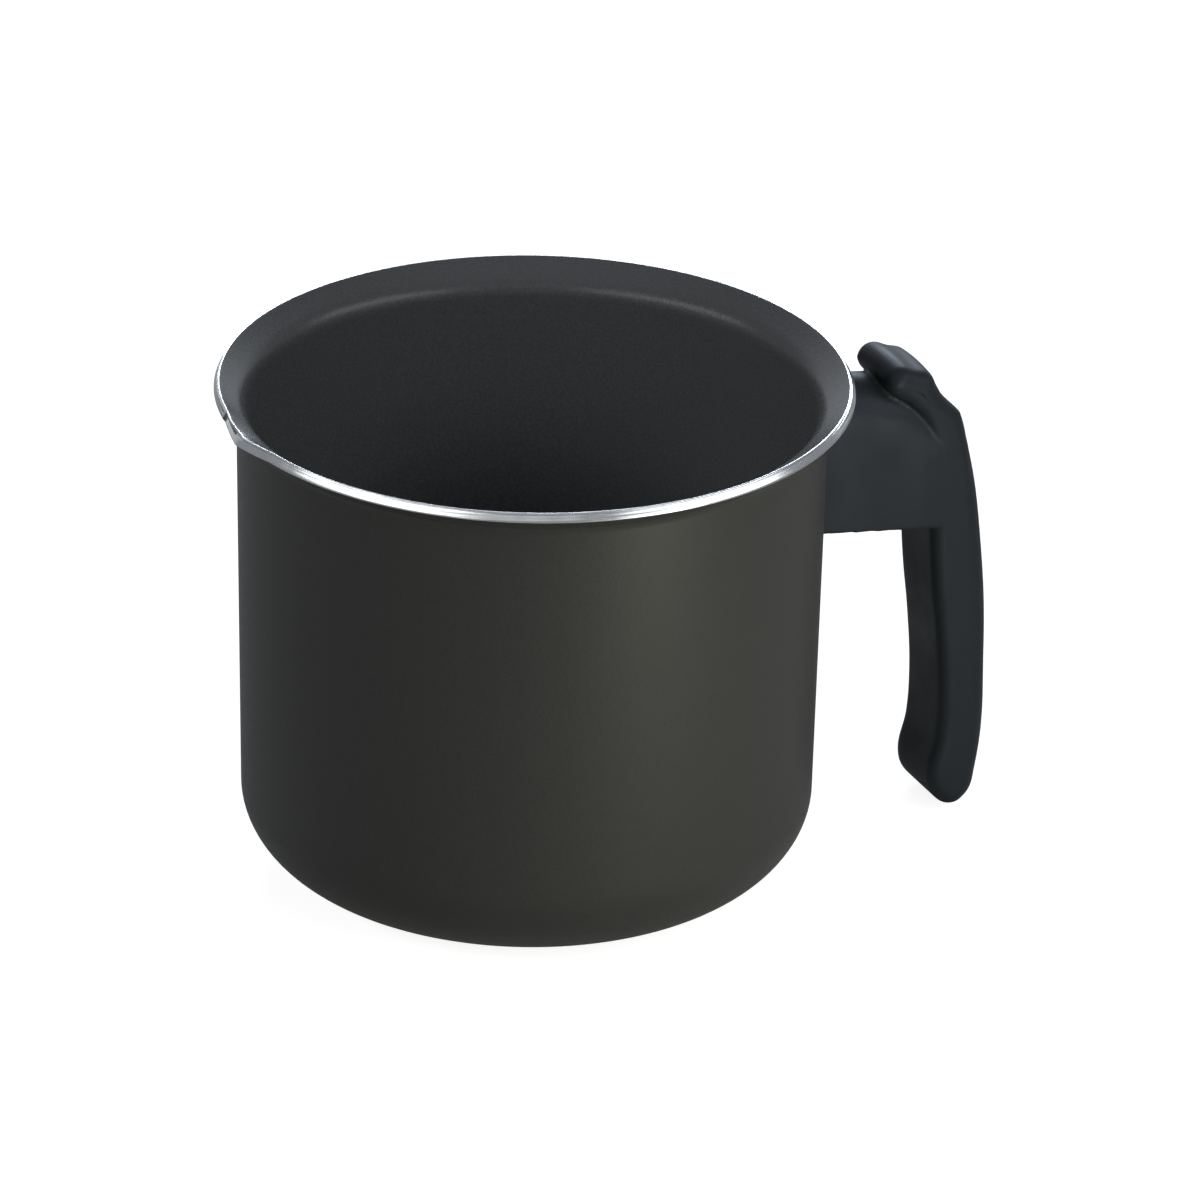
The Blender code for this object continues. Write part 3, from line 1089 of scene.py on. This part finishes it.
    def neck(self, bm: bmesh.types.BMesh) -> None:
        """Adds the neck: rings with a flat bottom and an arched top, bridged from the wall to the strap.

        Args:
            bm: The shape that the neck is added to.
        """
        loops = []
        widening = self.neck_grip_width - self.neck_wall_width
        flush = self.width / 2 - self.neck_flush
        side_on = Matrix.Rotation(QUARTER, 4, "Y")
        for number in range(self.neck_rings + 1):
            out_share = self.neck_end_share * number / self.neck_rings
            x = self.pot.wall_radius + self.reach * out_share
            if number == 0:
                x = self.pot.wall_radius - self.neck_into_wall
            half = (self.neck_wall_width + widening * out_share) / 2
            fall = self.neck_fall * out_share
            rise = self.neck_height * (1 - self.neck_sag_share * out_share**self.neck_sag_power) + fall
            made = bmesh.ops.create_circle(bm, segments=self.neck_steps, radius=1.0, matrix=side_on)
            for vert in made["verts"]:
                lift = max(0.0, vert.co.z) ** self.neck_arch_power
                y = max(-flush, min(flush, vert.co.y * half))
                vert.co = Vector((x, y, self.neck_bottom - fall + rise * lift))
            ring = {edge for vert in made["verts"] for edge in vert.link_edges}
            loops.append(list(ring))
        for loop, following in zip(loops, loops[1:]):
            bmesh.ops.bridge_loops(bm, edges=loop + following)
        for loop in (loops[0], loops[-1]):
            bmesh.ops.contextual_create(bm, geom=loop)

    def moulded(self) -> bpy.types.Object:
        """Merges strap and neck into one skin with small fillets, as a moulding has.

        Returns:
            The skin, still solid.
        """
        bm = self.strap()
        self.neck(bm)
        bmesh.ops.recalc_face_normals(bm, faces=bm.faces)
        piece = make_piece("handle_blank", bm)
        remesh = piece.modifiers.new("skin", "REMESH")
        remesh.mode = "VOXEL"
        remesh.voxel_size = self.voxel * 1
        smooth = piece.modifiers.new("fillets", "SMOOTH")
        smooth.factor = self.smoothing_factor
        smooth.iterations = self.smoothing
        return make_piece("handle_skin", take_shape(piece, FINE_WELD))

    def shape_back(self, piece: bpy.types.Object) -> None:
        """Crowns the nose and the grip's back across their width and presses cross ribs into the back.

        Args:
            piece: The moulded skin.
        """
        half = self.width / 2
        for vert in piece.data.vertices:
            x, y, z = vert.co
            if z > self.nose_low and vert.normal.z > 0:
                rise = min(1.0, (z - self.nose_low) / self.crown_blend)
                vert.co.z = z - self.nose_crown * rise * (y / half) ** 2
            if z > self.crown_high or x < self.crown_x:
                continue
            weight = min(1.0, (x - self.crown_x) / self.crown_blend)
            weight *= min(1.0, (self.crown_high - z) / self.crown_blend)
            inward = self.crown * weight * (y / half) ** 2
            on_rib = abs(y) < self.rib_half_width and self.rib_low < z < self.rib_high
            if on_rib and vert.normal.x > self.back_facing:
                ends = min(z - self.rib_low, self.rib_high - z) / self.rib_pitch
                fade = min(1.0, ends) * min(1.0, (self.rib_half_width - abs(y)) / self.rib_fade)
                inward += self.rib_depth * fade * (1 + math.cos(2 * math.pi * z / self.rib_pitch)) / 2
            vert.co.x = x - inward

    def build(self) -> bpy.types.Object:
        """Builds the handle: moulded, ribbed, bored for its screw and seated on the wall.

        Returns:
            The handle.
        """
        piece = self.moulded()
        self.shape_back(piece)
        low = self.neck_bottom - self.cut_below
        high = self.pot.lip_root + self.cut_above
        pen = Pen(0.0, low)
        pen.line(self.pot.wall_at(low) + self.wall_gap, low)
        pen.line(self.pot.wall_at(high) + self.wall_gap, high).line(0.0, high)
        wall = make_piece("wall_cutter", pen.turned(Axis.UP_Z, self.pot.turn_steps))
        bore = self.fastening.bore(self.pot.wall_radius + self.reach + self.cut_overrun)
        return carve(piece, [wall, bore], "moulded_handle", MouldedPhenolic().material())


@dataclass
class Softbox:
    """A soft studio lamp, placed by its angles as the camera sees them."""

    name: str
    turn: float
    rise: float
    width: float
    height: float
    brightness: float
    tint: str = "#ffffff"
    distance: float = 1.6

    def build(self, azimuth: float, target: Vector) -> None:
        """Hangs the lamp and aims it.

        Args:
            azimuth: The camera's own angle about +Z, from -Y.
            target: Where the lamp aims.
        """
        lamp = bpy.data.lights.new(self.name, "AREA")
        lamp.shape = "RECTANGLE"
        lamp.size = self.width
        lamp.size_y = self.height
        lamp.energy = self.brightness * math.pi * self.width * self.height
        lamp.color = linear(self.tint)[:3]
        thing = bpy.data.objects.new(self.name, lamp)
        bpy.context.scene.collection.objects.link(thing)
        angle = azimuth + math.radians(self.turn)
        rise = math.radians(self.rise)
        level = Vector((math.sin(angle), -math.cos(angle), 0.0)) * math.cos(rise)
        thing.location = target + (level + Vector((0.0, 0.0, math.sin(rise)))) * self.distance
        thing.rotation_euler = (target - thing.location).to_track_quat("-Z", "Y").to_euler()
        thing.visible_camera = False


def ray_kinds(tree: bpy.types.NodeTree) -> tuple[bpy.types.NodeSocket, bpy.types.NodeSocket]:
    """Tells apart the kinds of ray that meet a surface.

    Args:
        tree: The surface's node tree.

    Returns:
        A socket that is 1 for a camera's ray, also through glass, and one that is 1 for a mirrored ray.
    """
    path = add_node(tree, "ShaderNodeLightPath")
    seen = add_node(
        tree,
        "ShaderNodeMath",
        {0: path.outputs["Is Camera Ray"], 1: path.outputs["Is Transmission Ray"]},
        operation="MAXIMUM",
    )
    return seen.outputs[0], path.outputs["Is Glossy Ray"]


@dataclass
class Studio:
    """The plain pale floor, the soft lamps and the white surroundings."""

    azimuth: float
    floor_size: float = 30.0
    floor_colour: str = "#cfcfce"
    floor_roughness: float = 0.9
    floor_glow: float = 0.88
    mirrored_share: float = 0.08
    ambient: float = 0.03
    room_glow: float = 0.32
    backdrop_glow: float = 0.85
    # Cosines of the angles, off straight behind the pot, where the backdrop ends and where it is full
    backdrop_edge: float = 0.62
    backdrop_full: float = 0.82
    room_tint: str = "#f4f8ff"
    lamp_aim: float = 0.07
    lamps: tuple = (
        Softbox("right_softbox", turn=66.0, rise=30.0, width=1.70, height=0.46, brightness=2.4),
        Softbox("left_softbox", turn=-56.0, rise=30.0, width=1.90, height=0.46, brightness=2.5),
        Softbox("front_softbox", turn=0.0, rise=40.0, width=0.80, height=0.40, brightness=0.35),
        Softbox(
            "overhead_softbox", turn=0.0, rise=86.0, width=1.40, height=1.40, brightness=0.24, tint="#e4f0ff"
        ),
        Softbox(
            "back_softbox", turn=176.0, rise=27.0, width=0.80, height=0.25, brightness=13.0, tint="#e4f0ff"
        ),
        Softbox(
            "table_softbox", turn=42.0, rise=1.0, width=0.15, height=0.13, brightness=6.4, tint="#fbffec",
            distance=0.34,
        ),
    )

    def floor(self) -> None:
        """Lays the floor, which shows white to the camera and keeps the pot's shadow."""
        bm = bmesh.new()
        bmesh.ops.create_grid(bm, x_segments=1, y_segments=1, size=self.floor_size / 2)
        material = bpy.data.materials.new("pale_floor")
        material.use_nodes = True
        tree = material.node_tree
        shader = tree.nodes["Principled BSDF"]
        shader.inputs["Base Color"].default_value = linear(self.floor_colour)
        shader.inputs["Roughness"].default_value = self.floor_roughness
        shader.inputs["Specular IOR Level"].default_value = 0.0
        seen, mirrored = ray_kinds(tree)
        shown = add_node(
            tree, "ShaderNodeMath", {0: mirrored, 1: self.mirrored_share, 2: seen}, operation="MULTIPLY_ADD"
        )
        glow = add_node(
            tree, "ShaderNodeMath", {0: shown.outputs[0], 1: self.floor_glow}, operation="MULTIPLY"
        )
        shader.inputs["Emission Color"].default_value = linear("#ffffff")
        tree.links.new(glow.outputs[0], shader.inputs["Emission Strength"])
        make_piece("floor", bm, material)

    def surroundings(self) -> None:
        """Makes the surroundings: white to the camera, a pale backdrop in a dimmer room to reflections."""
        world = bpy.data.worlds.new("studio")
        bpy.context.scene.world = world
        world.use_nodes = True
        tree = world.node_tree
        background = tree.nodes["Background"]
        background.inputs["Color"].default_value = linear(self.room_tint)
        seen, mirrored = ray_kinds(tree)
        direction = add_node(tree, "ShaderNodeTexCoord").outputs["Generated"]
        away = (-math.sin(self.azimuth), math.cos(self.azimuth), 0.0)
        facing = add_node(tree, "ShaderNodeVectorMath", {0: direction, 1: away}, operation="DOT_PRODUCT")
        backdrop = add_node(
            tree,
            "ShaderNodeMapRange",
            {
                "Value": facing.outputs["Value"],
                1: self.backdrop_edge,
                2: self.backdrop_full,
                3: self.room_glow,
                4: self.backdrop_glow,
            },
        )
        reflected = add_node(
            tree,
            "ShaderNodeMix",
            {"Factor": mirrored, 2: self.ambient, 3: backdrop.outputs["Result"]},
            data_type="FLOAT",
        )
        strength = add_node(
            tree, "ShaderNodeMix", {"Factor": seen, 2: reflected.outputs[0], 3: 1.0}, data_type="FLOAT"
        )
        tree.links.new(strength.outputs[0], background.inputs["Strength"])

    def build(self) -> None:
        """Builds the floor, the lamps and the surroundings."""
        self.floor()
        self.surroundings()
        for lamp in self.lamps:
            lamp.build(self.azimuth, Vector((0.0, 0.0, self.lamp_aim)))


@dataclass
class StudioCamera:
    """The camera: far off with a long lens, above the pot and to the left of its handle."""

    place: tuple = (-2.9984, -6.5490, 3.3460)
    target: tuple = (0.015659, -0.007169, 0.071892)
    lens: float = 971.98
    sensor: float = 36.0
    nearest: float = 0.1
    farthest: float = 100.0
    roll: float = math.radians(1.012)

    def azimuth(self) -> float:
        """Gives the camera's angle about +Z, from -Y."""
        return math.atan2(self.place[0], -self.place[1])

    def build(self) -> None:
        """Sets the camera up and makes it the scene's own."""
        data = bpy.data.cameras.new("camera")
        data.lens = self.lens
        data.sensor_width = self.sensor
        data.clip_start = self.nearest
        data.clip_end = self.farthest
        camera = bpy.data.objects.new("camera", data)
        bpy.context.scene.collection.objects.link(camera)
        place = Vector(self.place)
        aim = (Vector(self.target) - place).to_track_quat("-Z", "Y")
        turn = aim @ Quaternion(Axis.UP_Z.value, self.roll)
        camera.location = place
        camera.rotation_euler = turn.to_euler()
        bpy.context.scene.camera = camera


def main() -> None:
    """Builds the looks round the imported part."""
    logging.basicConfig(level=logging.INFO, format="%(message)s")
    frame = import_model()
    pot = Pot()
    mount(pot.build(), "pot_body")
    fastening = Fastening()
    handle = Handle(pot, fastening)
    mount(handle.build(), "handle")
    fastening.build()
    stud = frame["nodes"]["weld_stud"]
    stud.data.materials.clear()
    stud.data.materials.append(TurnedStud().material())
    camera = StudioCamera()
    camera.build()
    Studio(camera.azimuth()).build()
    bpy.context.scene.view_settings.view_transform = "Standard"


if __name__ == "__main__":
    main()
